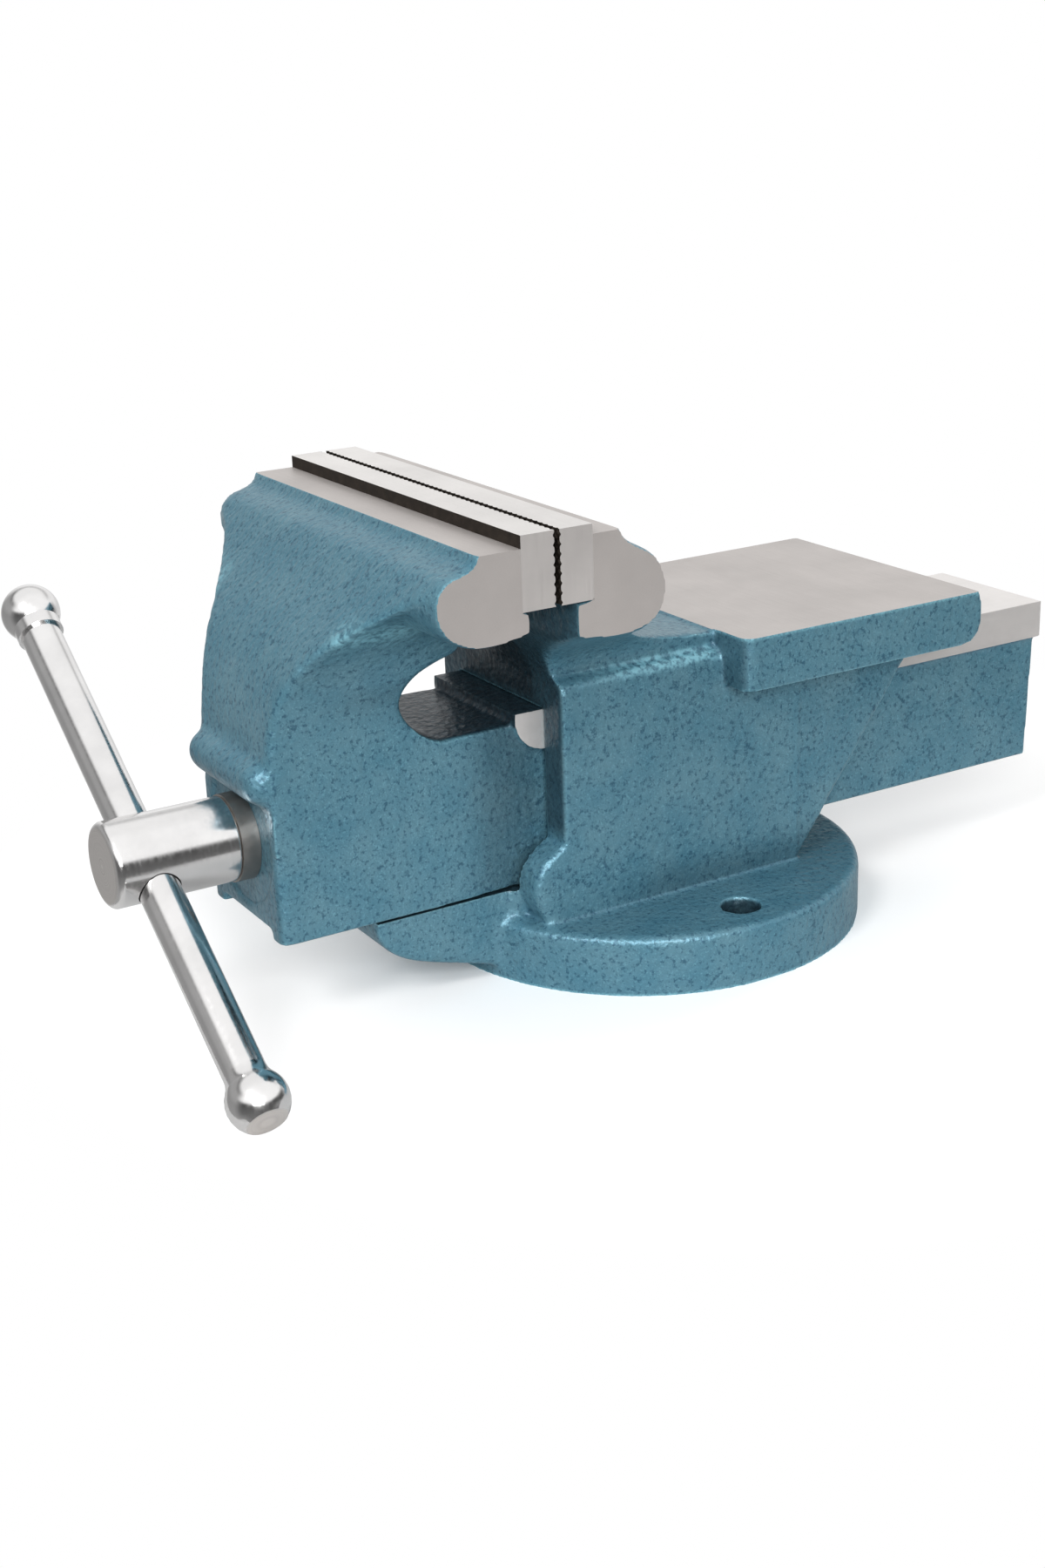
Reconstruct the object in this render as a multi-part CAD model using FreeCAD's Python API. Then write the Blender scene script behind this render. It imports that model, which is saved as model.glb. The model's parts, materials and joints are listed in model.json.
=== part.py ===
import FreeCAD, Part
import math
import os

# A 6-inch fixed-base bench vise. Origin: centre of the round base flange, on its underside.
# X runs to the rear (anvil end), -X is the handle end, Y lies along the jaws, Z is up.
# All sizes are in millimetres.

Vector = FreeCAD.Vector
X_AXIS = Vector(1, 0, 0)
Y_AXIS = Vector(0, 1, 0)
Z_AXIS = Vector(0, 0, 1)
ORIGIN = Vector(0, 0, 0)

# jaws
JAW_HALF_WIDTH = 75.0
PLATE_TOP_Z = 158.5
PLATE_HEIGHT = 22.2
PLATE_THICKNESS = 11.0
PLATE_BOTTOM_Z = PLATE_TOP_Z - PLATE_HEIGHT
FIXED_PLATE_FACE_X = -74.6
MOVING_PLATE_FACE_X = -76.4
FIXED_SEAT_X = FIXED_PLATE_FACE_X + PLATE_THICKNESS
MOVING_SEAT_X = MOVING_PLATE_FACE_X - PLATE_THICKNESS
FIXED_HEAD_TOP_Z = 155.5
MOVING_HEAD_TOP_Z = 154.6
FIXED_UNDERCUT_X = -69.7
MOVING_UNDERCUT_X = -84.6
PLATE_CHAMFER = 0.4

# jaw plate screws, M8 countersunk
PLATE_SCREW_Y = 46.0
PLATE_SCREW_Z = PLATE_BOTTOM_Z + 9.6
PLATE_SCREW_R = 4.0
PLATE_SCREW_HEAD_R = 7.6
PLATE_SCREW_HEAD_DEPTH = 4.2
PLATE_SCREW_HEAD_RECESS = 0.6
PLATE_SCREW_LENGTH = 20.0
PLATE_SCREW_HOLE_SPARE = 1.6
PLATE_SCREW_SOCKET_ACROSS_FLATS = 5.0
PLATE_SCREW_SOCKET_DEPTH = 2.8
SCREW_FIT = 0.06

# moving jaw: front box, and the rectangular slide that runs through the body
BOX_FRONT_X = -147.4
BOX_HALF_WIDTH = 26.4
WAIST_X = -100.0
BOX_BOTTOM_Z = 30.6
BOX_TOP_Z = 85.4
BOX_EDGE_R = 3.0
LAND_START_X = -63.3
LAND_HALF_WIDTH = 26.5
LAND_TOP_Z = 88.8
LAND_HEIGHT = 13.0
LAND_BOTTOM_Z = LAND_TOP_Z - LAND_HEIGHT
SLIDE_END_X = 158.0
SLIDE_HALF_WIDTH = 24.4
SLIDE_BOTTOM_Z = 30.3
CHANNEL_HALF_WIDTH = 18.5
CHANNEL_TOP_Z = 76.3
CHANNEL_BOTTOM_Z = 20.0
CHANNEL_CORNER_R = 5.0
FRONT_WALL_INNER_X = -134.0
FRONT_WALL_BOTTOM_Z = 34.0
SPOT_FACE_R = 22.0
SPOT_FACE_DEPTH = 0.9
LIP_Z = 82.0
LIP_R = 6.8

# fixed body
FLANGE_R = 75.2
FLANGE_THICKNESS = 20.0
FLANGE_EDGE_R = 2.5
BOLT_HOLE_Y = 59.0
BOLT_HOLE_R = 6.5
BODY_FRONT_X = -53.5
BODY_HALF_WIDTH = 38.3
BODY_REAR_X = 38.5
UPRIGHT_LOW_Z = 10.0
SHOULDER_Z = 101.0
SLIDEWAY_CLEARANCE = 0.35
SLIDEWAY_FLOOR_Z = 29.6
ANVIL_FRONT_X = 8.4
ANVIL_REAR_X = 107.8
ANVIL_HALF_WIDTH = 50.5
ANVIL_TOP_Z = 105.8
ANVIL_BOTTOM_Z = 88.0
ANVIL_CORNER_R = 4.0
TONGUE_HALF_WIDTH = 25.0
TONGUE_FRONT_X = -114.5
TONGUE_ROOT_X = -67.0
TONGUE_ROOT_HALF_WIDTH = 26.4
TONGUE_ROOT_EDGE_R = 1.2
BASE_POCKET_R = 31.0
BASE_POCKET_DEPTH = 13.0

# spindle
SPINDLE_Z = 59.5
HEAD_R = 13.5
HEAD_EDGE_R = 2.4
HEAD_REAR_EDGE_R = 0.8
HEAD_FRONT_X = -192.3
HEAD_REAR_X = -152.4
SHANK_R = 11.0
SHANK_CLEARANCE = 0.3
SHANK_TAPER_LENGTH = 3.0
THREAD_START_X = -60.0
THREAD_END_X = 132.0
SPINDLE_END_X = 136.0
THREAD_PITCH = 5.0
THREAD_CREST_R = 10.9
THREAD_ROOT_R = 8.2
THREAD_PITCH_R = 9.6
THREAD_GAP = 0.34
THREAD_END_GAP = 0.35
THREAD_ROOT_OVERLAP = 0.3
THREAD_FLANK_TAN = math.tan(math.radians(15))

# washers, spring and collar that hold the spindle to the front wall
RUNNING_GAP = 0.1
WASHER_BORE_GAP = 0.1
COLLAR_BORE_GAP = 0.05
THRUST_WASHER_R = 13.9
INNER_WASHER_R = 15.8
INNER_WASHER_THICKNESS = 2.0
SPRING_SEAT_THICKNESS = 1.5
COLLAR_R = 15.6
COLLAR_LENGTH = 9.0
COLLAR_FRONT_X = -120.5
SPRING_SEAT_X = COLLAR_FRONT_X - SPRING_SEAT_THICKNESS
COLLAR_PIN_R = 2.0
COLLAR_PIN_X = COLLAR_FRONT_X + COLLAR_LENGTH / 2
COLLAR_PIN_HOLE_REACH = 20.0
SPRING_WIRE_R = 1.2
SPRING_WIRE_SIDES = 8
SPRING_MEAN_R = 13.0
SPRING_TURNS = 3

# handle
HANDLE_X = -178.9
HANDLE_ANGLE = math.radians(56.3)
HANDLE_R = 6.5
HANDLE_HOLE_R = 6.8
HANDLE_BALL_R = 9.5
HANDLE_FLAT_DEPTH = 2.2
HANDLE_FLAT_EDGE_R = 0.8
HANDLE_FLARE_R = 8.0
HANDLE_LOWER = 89.4
HANDLE_UPPER = 103.4
BALL_SOCKET_DEPTH = 4.0
BALL_COLLAR_WALL = 1.0
BALL_COLLAR_LENGTH = 0.6
HANDLE_DOWN = Vector(0, -math.sin(HANDLE_ANGLE), -math.cos(HANDLE_ANGLE))

# spindle nut, bolted to the slideway floor from below
NUT_FRONT_X = -35.0
NUT_REAR_X = 25.0
NUT_HALF_WIDTH = 16.0
NUT_TOP_R = 15.0
NUT_BOLT_XS = (-19.0, 9.0)
NUT_BOLT_R = 4.95
NUT_BOLT_HOLE_R = 5.5
NUT_BOLT_TIP_Z = 43.0
NUT_BOLT_HEAD_ACROSS_FLATS = 16.0
NUT_BOLT_HEAD_HEIGHT = 6.4
NUT_WASHER_R = 10.0
NUT_WASHER_THICKNESS = 2.0
LOCK_WASHER_R = 8.4
LOCK_WASHER_THICKNESS = 2.4
LOCK_WASHER_SPLIT = 1.2


# ---------------------------------------------------------------- helpers

def on_xz(point):
    return Vector(point[0], 0, point[1])


def on_yz(point):
    return Vector(0, point[0], point[1])


def on_xy(point):
    return Vector(point[0], point[1], 0)


def closed_wire(steps, place):
    """Wire through the steps: a tuple ends a straight line, a list is a smooth curve."""
    edges = []
    here = steps[0]
    for step in steps[1:] + [steps[0]]:
        if isinstance(step, list):
            curve = Part.BSplineCurve()
            curve.interpolate([place(point) for point in [here] + step])
            edges.append(curve.toShape())
            here = step[-1]
        elif step != here:
            edges.append(Part.makeLine(place(here), place(step)))
            here = step
    return Part.Wire(edges)


def prism(steps, place, low, high):
    """Outline extruded square to its plane, from low to high."""
    direction = {on_xz: Y_AXIS, on_yz: X_AXIS, on_xy: Z_AXIS}[place]
    face = Part.Face(closed_wire(steps, place))
    face.translate(direction * low)
    return face.extrude(direction * (high - low))


def box(x, y, z):
    """Box between the two limits given for each axis."""
    corner = Vector(x[0], y[0], z[0])
    return Part.makeBox(x[1] - x[0], y[1] - y[0], z[1] - z[0], corner)


def rod(radius, start, end):
    """Round bar between two points."""
    return Part.makeCylinder(radius, (end - start).Length, start, end - start)


def rod_x(radius, low, high, y=0.0, z=SPINDLE_Z):
    return rod(radius, Vector(low, y, z), Vector(high, y, z))


def rod_z(radius, x, y, low, high):
    return rod(radius, Vector(x, y, low), Vector(x, y, high))


def ring_x(outer, inner, low, high):
    """Washer or collar on the spindle axis."""
    return rod_x(outer, low, high).cut(rod_x(inner, low - 1, high + 1))


def mirrored(shape):
    """The same shape on the other side of the middle plane."""
    return shape.mirror(ORIGIN, Y_AXIS)


def round_edges(shape, radius, chosen):
    """Fillet of the edges for which chosen(edge) is true."""
    return shape.makeFillet(radius, [edge for edge in shape.Edges if chosen(edge)])


def is_vertical(edge):
    box_of_edge = edge.BoundBox
    return box_of_edge.XLength < 0.01 and box_of_edge.YLength < 0.01


def half_width_outline(upper, bottom, top):
    """Symmetric outline across the vise: steps up the +Y side, closed over the middle."""
    right = [(upper[0][0], bottom)] + upper + [(upper_end(upper)[0], top)]
    left = [mirror_step(step) for step in reversed_steps(right)]
    return right + left


def upper_end(steps):
    last = steps[-1]
    return last[-1] if isinstance(last, list) else last


def reversed_steps(steps):
    """The steps walked backwards, with each curve still a curve."""
    points = []
    for step in steps:
        if isinstance(step, list):
            points.append(("curve", step))
        else:
            points.append(("line", [step]))
    ends = [group[-1] for _, group in points]
    result = [ends[-1]]
    for index in range(len(points) - 1, 0, -1):
        kind, group = points[index]
        start = ends[index - 1]
        if kind == "curve":
            result.append(list(reversed(group[:-1])) + [start])
        else:
            result.append(start)
    return result


def mirror_step(step):
    if isinstance(step, list):
        return [(-y, z) for y, z in step]
    return (-step[0], step[1])


# ---------------------------------------------------------------- fixed body

def fixed_body():
    slideway_half = LAND_HALF_WIDTH + SLIDEWAY_CLEARANCE
    slideway_top = LAND_TOP_Z + SLIDEWAY_CLEARANCE

    flange = rod_z(FLANGE_R, 0, 0, 0, FLANGE_THICKNESS)
    flange = round_edges(flange, FLANGE_EDGE_R, lambda e: e.BoundBox.ZMin > FLANGE_THICKNESS - 0.01)

    # side view of the upright: front face, neck up to the jaw, slope down to the anvil, gusset
    side_view = prism([
        (BODY_FRONT_X, UPRIGHT_LOW_Z),
        (BODY_FRONT_X, 98.0),
        [(-55.4, 104.5), (-59.5, 111.0), (-64.6, 117.5), (FIXED_UNDERCUT_X, 123.5)],
        (FIXED_UNDERCUT_X, 130.0),
        (-44.0, 130.0),
        (-42.5, 128.0),
        [(-37.5, 119.5), (-25.0, 111.0), (-8.0, 106.6), (ANVIL_FRONT_X, 105.0)],
        (80.0, 104.0),
        (94.0, 96.0),
        (91.4, ANVIL_BOTTOM_Z),
        (BODY_REAR_X, FLANGE_THICKNESS),
        (BODY_REAR_X, UPRIGHT_LOW_Z),
    ], on_xz, -JAW_HALF_WIDTH, JAW_HALF_WIDTH)
    # front view: flat sides, a rounded shoulder, then the neck flares out to the jaw width
    front_view = prism(half_width_outline([
        (BODY_HALF_WIDTH, 96.0),
        [(37.3, 98.7), (34.6, 100.0)],
        (33.4, 100.6),
        [(34.6, 105.5), (41.5, 111.0), (56.0, 117.6), (72.6, 125.0)],
        (JAW_HALF_WIDTH - 0.8, 129.0),
    ], UPRIGHT_LOW_Z, 131.0), on_yz, -80.0, 100.0)
    # top view: the gusset under the anvil tapers towards the rear
    top_view = prism([
        (-80.0, -JAW_HALF_WIDTH),
        (-40.0, -JAW_HALF_WIDTH),
        (-38.0, -BODY_HALF_WIDTH),
        (BODY_REAR_X, -BODY_HALF_WIDTH),
        (96.0, -35.2),
        (96.0, 35.2),
        (BODY_REAR_X, BODY_HALF_WIDTH),
        (-38.0, BODY_HALF_WIDTH),
        (-40.0, JAW_HALF_WIDTH),
        (-80.0, JAW_HALF_WIDTH),
    ], on_xy, 5.0, 135.0)
    upright = side_view.common(front_view)
    lower = upright.common(box((-80, 100), (-80, 80), (0, SHOULDER_Z))).common(top_view)
    upper = upright.common(box((-80, 100), (-80, 80), (SHOULDER_Z, 135)))

    head = prism([
        (FIXED_SEAT_X, FIXED_HEAD_TOP_Z),
        (-54.0, FIXED_HEAD_TOP_Z),
        [(-52.6, 153.1), (-48.3, 150.0), (-42.8, 146.9), (-39.1, 141.2),
         (-38.3, 134.4), (-41.0, 128.2), (-47.2, 124.6), (-56.5, 123.4)],
        (FIXED_UNDERCUT_X, 125.1),
        (FIXED_UNDERCUT_X, PLATE_BOTTOM_Z),
        (FIXED_SEAT_X, PLATE_BOTTOM_Z),
    ], on_xz, -JAW_HALF_WIDTH, JAW_HALF_WIDTH)

    anvil = prism([
        (ANVIL_FRONT_X, ANVIL_BOTTOM_Z),
        (ANVIL_FRONT_X, ANVIL_TOP_Z),
        (ANVIL_REAR_X - 1.7, ANVIL_TOP_Z),
        [(ANVIL_REAR_X, 98.5), (ANVIL_REAR_X - 1.6, 91.4), (ANVIL_REAR_X - 8.5, ANVIL_BOTTOM_Z)],
    ], on_xz, -ANVIL_HALF_WIDTH, ANVIL_HALF_WIDTH)
    anvil = round_edges(anvil, ANVIL_CORNER_R, lambda e: is_vertical(e) and e.BoundBox.XMin < ANVIL_FRONT_X + 1)

    # rounded cheeks at the foot of the front face, on either side of the slide
    cheek = prism([
        (-50.0, 46.5),
        (BODY_FRONT_X, 46.0),
        [(-58.6, 43.0), (-63.2, 37.8), (-64.5, 31.2), (-62.3, 24.5), (-58.5, 19.0)],
        (-50.0, 19.0),
    ], on_xz, slideway_half, BODY_HALF_WIDTH)

    # bed that carries on forward under the slide
    tongue = prism([
        (TONGUE_FRONT_X, SLIDEWAY_FLOOR_Z),
        [(-112.6, 21.6), (-106.0, 15.6), (-97.0, 11.8), (-84.0, 8.0), (-70.0, 3.2)],
        (-50.0, 2.0),
        (-50.0, SLIDEWAY_FLOOR_Z),
    ], on_xz, -TONGUE_HALF_WIDTH, TONGUE_HALF_WIDTH)

    tongue_root = box((TONGUE_ROOT_X, BODY_FRONT_X + 5), (-TONGUE_ROOT_HALF_WIDTH, TONGUE_ROOT_HALF_WIDTH),
                      (5.0, SLIDEWAY_FLOOR_Z))
    tongue_root = round_edges(tongue_root, TONGUE_ROOT_EDGE_R,
                              lambda e: is_vertical(e) and e.BoundBox.XMax < BODY_FRONT_X)

    body = flange.multiFuse([lower, upper, head, anvil, cheek, mirrored(cheek), tongue, tongue_root])
    body = body.cut(box((-70, ANVIL_REAR_X + 5), (-slideway_half, slideway_half),
                        (SLIDEWAY_FLOOR_Z, slideway_top)))
    body = body.cut(rod_z(BASE_POCKET_R, 0, 0, -1, BASE_POCKET_DEPTH))
    for side in (-1, 1):
        body = body.cut(rod_z(BOLT_HOLE_R, 0, side * BOLT_HOLE_Y, -1, FLANGE_THICKNESS + 1))
        body = body.cut(plate_screw_hole(FIXED_SEAT_X, 1, side))
    for x in NUT_BOLT_XS:
        body = body.cut(rod_z(NUT_BOLT_HOLE_R, x, 0, 5, SLIDEWAY_FLOOR_Z + 1))
    return body.removeSplitter()


def plate_screw_hole(seat_x, inward, side):
    """Tapped hole in a jaw casting, going in from the plate seat."""
    depth = PLATE_SCREW_LENGTH - PLATE_THICKNESS + PLATE_SCREW_HOLE_SPARE
    start = Vector(seat_x - inward, side * PLATE_SCREW_Y, PLATE_SCREW_Z)
    end = Vector(seat_x + inward * depth, side * PLATE_SCREW_Y, PLATE_SCREW_Z)
    return rod(PLATE_SCREW_R + SCREW_FIT, start, end)


# ---------------------------------------------------------------- moving jaw

def moving_jaw():
    head = prism([
        (MOVING_SEAT_X, MOVING_HEAD_TOP_Z),
        (-101.4, MOVING_HEAD_TOP_Z),
        [(-104.1, 151.2), (-109.4, 149.8), (-113.9, 146.7), (-115.5, 140.4),
         (-112.7, 133.1), (-106.0, 128.7), (-97.0, 127.3)],
        (MOVING_UNDERCUT_X, 129.2),
        (MOVING_UNDERCUT_X, PLATE_BOTTOM_Z),
        (MOVING_SEAT_X, PLATE_BOTTOM_Z),
    ], on_xz, -JAW_HALF_WIDTH, JAW_HALF_WIDTH)

    # the neck leans back from the front box to the jaw, with the round throat behind it
    side_view = prism([
        (BOX_FRONT_X, 60.0),
        (BOX_FRONT_X, 91.0),
        [(-146.2, 101.1), (-141.0, 116.0), (-130.0, 129.4), (-115.6, 145.0)],
        (-100.0, 147.0),
        (MOVING_SEAT_X - 1, 142.0),
        (MOVING_SEAT_X - 1, PLATE_BOTTOM_Z),
        (MOVING_UNDERCUT_X, 132.0),
        (MOVING_UNDERCUT_X, 114.2),
        [(-90.2, 112.2), (-98.2, 107.8), (-102.8, 100.2), (-99.2, 91.6), (-89.0, BOX_TOP_Z)],
        (WAIST_X, 82.0),
        (WAIST_X, 60.0),
    ], on_xz, -JAW_HALF_WIDTH, JAW_HALF_WIDTH)
    front_view = prism(half_width_outline([
        (BOX_HALF_WIDTH, 92.0),
        [(27.4, 102.0), (32.8, 116.0), (47.0, 129.8), (73.2, 145.2)],
        (JAW_HALF_WIDTH, 147.0),
    ], 60.0, 150.0), on_yz, -150.0, -60.0)
    neck = side_view.common(front_view)

    front_box = box((BOX_FRONT_X, WAIST_X), (-BOX_HALF_WIDTH, BOX_HALF_WIDTH), (BOX_BOTTOM_Z, BOX_TOP_Z))
    front_box = round_edges(front_box, BOX_EDGE_R,
                            lambda e: is_vertical(e) and e.BoundBox.XMin < BOX_FRONT_X + 1)
    # the cast sides draw in a little before they enter the body
    waist = prism([
        (WAIST_X, -BOX_HALF_WIDTH),
        [(-84.0, -26.1), (-72.0, -25.2), (LAND_START_X + 2, -SLIDE_HALF_WIDTH)],
        (LAND_START_X + 4, -SLIDE_HALF_WIDTH),
        (LAND_START_X + 4, SLIDE_HALF_WIDTH),
        (LAND_START_X + 2, SLIDE_HALF_WIDTH),
        [(-72.0, 25.2), (-84.0, 26.1), (WAIST_X, BOX_HALF_WIDTH)],
    ], on_xy, BOX_BOTTOM_Z, BOX_TOP_Z)
    slide = prism([
        (LAND_START_X, SLIDE_BOTTOM_Z),
        (SLIDE_END_X - 2.4, SLIDE_BOTTOM_Z),
        (SLIDE_END_X - 0.6, LAND_BOTTOM_Z),
        (SLIDE_END_X - 0.6, BOX_TOP_Z),
        (LAND_START_X, BOX_TOP_Z),
    ], on_xz, -SLIDE_HALF_WIDTH, SLIDE_HALF_WIDTH)
    # machined guide lands along the top of the slide, with the run-out left by the cutter
    land = prism([
        (LAND_START_X, LAND_TOP_Z),
        [(LAND_START_X + 0.8, 82.4), (LAND_START_X + 4.6, 77.7), (LAND_START_X + 11.5, LAND_BOTTOM_Z)],
        (SLIDE_END_X, LAND_BOTTOM_Z),
        (SLIDE_END_X, LAND_TOP_Z),
    ], on_xz, -LAND_HALF_WIDTH, LAND_HALF_WIDTH)

    jaw = head.multiFuse([neck, front_box, waist, slide, land])
    channel = box((FRONT_WALL_INNER_X, SLIDE_END_X + 2), (-CHANNEL_HALF_WIDTH, CHANNEL_HALF_WIDTH),
                  (CHANNEL_BOTTOM_Z, CHANNEL_TOP_Z))
    channel = round_edges(channel, CHANNEL_CORNER_R, lambda e: e.BoundBox.ZMin > CHANNEL_TOP_Z - 0.01
                          and e.BoundBox.YLength < 0.01)
    jaw = jaw.cut(channel)
    jaw = jaw.cut(box((BOX_FRONT_X - 3, FRONT_WALL_INNER_X + 1), (-CHANNEL_HALF_WIDTH, CHANNEL_HALF_WIDTH),
                      (CHANNEL_BOTTOM_Z, FRONT_WALL_BOTTOM_Z)))
    jaw = jaw.cut(rod_x(SPOT_FACE_R, BOX_FRONT_X - 5, BOX_FRONT_X + SPOT_FACE_DEPTH))
    jaw = jaw.cut(rod_x(SHANK_R + SHANK_CLEARANCE, BOX_FRONT_X - 5, FRONT_WALL_INNER_X + 5))
    jaw = jaw.fuse(lip())
    for side in (-1, 1):
        jaw = jaw.cut(plate_screw_hole(MOVING_SEAT_X, -1, side))
    return jaw.removeSplitter()


def lip():
    """Rounded rib across the front of the box, over the spindle."""
    reach = BOX_HALF_WIDTH - LIP_R
    rib = rod(LIP_R, Vector(BOX_FRONT_X, -reach, LIP_Z), Vector(BOX_FRONT_X, reach, LIP_Z))
    for side in (-1, 1):
        rib = rib.fuse(Part.makeSphere(LIP_R, Vector(BOX_FRONT_X, side * reach, LIP_Z)))
    return rib


# ---------------------------------------------------------------- jaw plates

def jaw_plate(face_x, inward):
    """Hardened plate with two countersunk holes. inward is +1 if the plate lies behind its face."""
    back_x = face_x + inward * PLATE_THICKNESS
    plate = box((min(face_x, back_x), max(face_x, back_x)), (-JAW_HALF_WIDTH, JAW_HALF_WIDTH),
                (PLATE_BOTTOM_Z, PLATE_TOP_Z))
    plate = plate.makeChamfer(PLATE_CHAMFER, [edge for edge in plate.Edges if edge.BoundBox.YLength > 1])
    for side in (-1, 1):
        plate = plate.cut(plate_screw(face_x, inward, side, SCREW_FIT, False))
    return plate


def plate_screw(face_x, inward, side, extra=0.0, socket=True):
    """Countersunk screw. With extra it is the hole for the screw, open to the gripping face."""
    y = side * PLATE_SCREW_Y
    top = face_x + inward * PLATE_SCREW_HEAD_RECESS
    axis = Vector(inward, 0, 0)
    start = Vector(top, y, PLATE_SCREW_Z)
    shank = Part.makeCylinder(PLATE_SCREW_R + extra, PLATE_SCREW_LENGTH, start, axis)
    cone = Part.makeCone(PLATE_SCREW_HEAD_R + extra, PLATE_SCREW_R + extra, PLATE_SCREW_HEAD_DEPTH,
                         start, axis)
    screw = shank.fuse(cone)
    if extra:
        mouth = Part.makeCylinder(PLATE_SCREW_HEAD_R + extra, 2 + PLATE_SCREW_HEAD_RECESS,
                                  Vector(face_x - 2 * inward, y, PLATE_SCREW_Z), axis)
        screw = screw.fuse(mouth)
    if socket:
        screw = screw.cut(hex_bar(PLATE_SCREW_SOCKET_ACROSS_FLATS, PLATE_SCREW_SOCKET_DEPTH, start, axis))
    return screw


def hex_bar(across_flats, height, start, axis):
    """Hexagonal prism from start along axis."""
    radius = across_flats / math.sqrt(3)
    corners = [Vector(radius * math.cos(math.radians(60 * k)), radius * math.sin(math.radians(60 * k)), 0)
               for k in range(7)]
    bar = Part.Face(Part.makePolygon(corners)).extrude(Vector(0, 0, height))
    bar.Placement = FreeCAD.Placement(start, FreeCAD.Rotation(Z_AXIS, axis))
    return bar


# ---------------------------------------------------------------- spindle and its washers

def helix_solid(start_x, turns, inner_r, outer_r, half_width):
    """Helical bar of trapezoidal section on the spindle axis, half_width at the pitch radius."""
    inner_half = half_width + (THREAD_PITCH_R - inner_r) * THREAD_FLANK_TAN
    outer_half = half_width - (outer_r - THREAD_PITCH_R) * THREAD_FLANK_TAN
    path = Part.makeLongHelix(THREAD_PITCH, turns * THREAD_PITCH, THREAD_PITCH_R)
    corners = [Vector(inner_r, 0, -inner_half), Vector(outer_r, 0, -outer_half),
               Vector(outer_r, 0, outer_half), Vector(inner_r, 0, inner_half),
               Vector(inner_r, 0, -inner_half)]
    section = Part.makePolygon(corners)
    solid = Part.Wire(path).makePipeShell([section], True, True)
    turn = FreeCAD.Rotation(Z_AXIS, X_AXIS)
    solid.Placement = FreeCAD.Placement(Vector(start_x, 0, SPINDLE_Z), turn)
    return solid


def spindle():
    head = rod_x(HEAD_R, HEAD_FRONT_X, HEAD_REAR_X)
    head = round_edges(head, HEAD_EDGE_R, lambda e: e.BoundBox.XMax < HEAD_FRONT_X + 0.01)
    head = round_edges(head, HEAD_REAR_EDGE_R, lambda e: e.BoundBox.XMin > HEAD_REAR_X - 0.01)
    centre = Vector(HANDLE_X, 0, SPINDLE_Z)
    through_head = HANDLE_DOWN * HEAD_R * 1.5
    head = head.cut(rod(HANDLE_HOLE_R, centre - through_head, centre + through_head))
    shank_end = THREAD_START_X - SHANK_TAPER_LENGTH
    shank = rod_x(SHANK_R, HEAD_REAR_X, shank_end)
    core = rod_x(THREAD_ROOT_R, shank_end - 1, SPINDLE_END_X)
    taper = Part.makeCone(SHANK_R, THREAD_ROOT_R, SHANK_TAPER_LENGTH, Vector(shank_end, 0, SPINDLE_Z), X_AXIS)
    turns = (THREAD_END_X - THREAD_START_X) / THREAD_PITCH
    ridge_half = THREAD_PITCH / 4 - THREAD_GAP / 2
    ridge = helix_solid(THREAD_START_X, turns, THREAD_ROOT_R - THREAD_ROOT_OVERLAP, THREAD_CREST_R, ridge_half)
    body = head.multiFuse([shank, core, taper])
    body = body.fuse(ridge)
    return body.cut(collar_pin_hole())


def collar_pin_hole():
    low = SPINDLE_Z - COLLAR_PIN_HOLE_REACH
    high = SPINDLE_Z + COLLAR_PIN_HOLE_REACH
    return rod_z(COLLAR_PIN_R, COLLAR_PIN_X, 0, low, high)


def thrust_washer():
    rear = BOX_FRONT_X + SPOT_FACE_DEPTH - RUNNING_GAP
    return ring_x(THRUST_WASHER_R, SHANK_R + WASHER_BORE_GAP, HEAD_REAR_X, rear)


def inner_washer():
    front = FRONT_WALL_INNER_X + RUNNING_GAP
    return ring_x(INNER_WASHER_R, SHANK_R + WASHER_BORE_GAP, front, front + INNER_WASHER_THICKNESS)


def spindle_spring():
    """Flat-ended coil spring between the inner washer and the seat washer."""
    front = FRONT_WALL_INNER_X + RUNNING_GAP + INNER_WASHER_THICKNESS
    length = SPRING_SEAT_X - front
    pitch = (length - SPRING_WIRE_R) / SPRING_TURNS
    path = Part.makeHelix(pitch, pitch * SPRING_TURNS, SPRING_MEAN_R)
    step = 2 * math.pi / SPRING_WIRE_SIDES
    corners = [Vector(SPRING_MEAN_R + SPRING_WIRE_R * math.cos(k * step), 0, SPRING_WIRE_R * math.sin(k * step))
               for k in range(SPRING_WIRE_SIDES)]
    section = Part.makePolygon(corners + corners[:1])
    coil = Part.Wire(path).makePipeShell([section], True, True)
    coil.Placement = FreeCAD.Placement(Vector(front + SPRING_WIRE_R / 2, 0, SPINDLE_Z),
                                       FreeCAD.Rotation(Z_AXIS, X_AXIS))
    return coil.common(rod_x(SPRING_MEAN_R + 2 * SPRING_WIRE_R, front, SPRING_SEAT_X))


def spring_seat_washer():
    return ring_x(INNER_WASHER_R, SHANK_R + WASHER_BORE_GAP, SPRING_SEAT_X, COLLAR_FRONT_X)


def retaining_collar():
    rear = COLLAR_FRONT_X + COLLAR_LENGTH
    collar = ring_x(COLLAR_R, SHANK_R + COLLAR_BORE_GAP, COLLAR_FRONT_X, rear)
    return collar.cut(collar_pin_hole())


def collar_pin():
    reach = COLLAR_R - 0.6
    return rod_z(COLLAR_PIN_R - 0.03, COLLAR_PIN_X, 0, SPINDLE_Z - reach, SPINDLE_Z + reach)


# ---------------------------------------------------------------- nut

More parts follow.
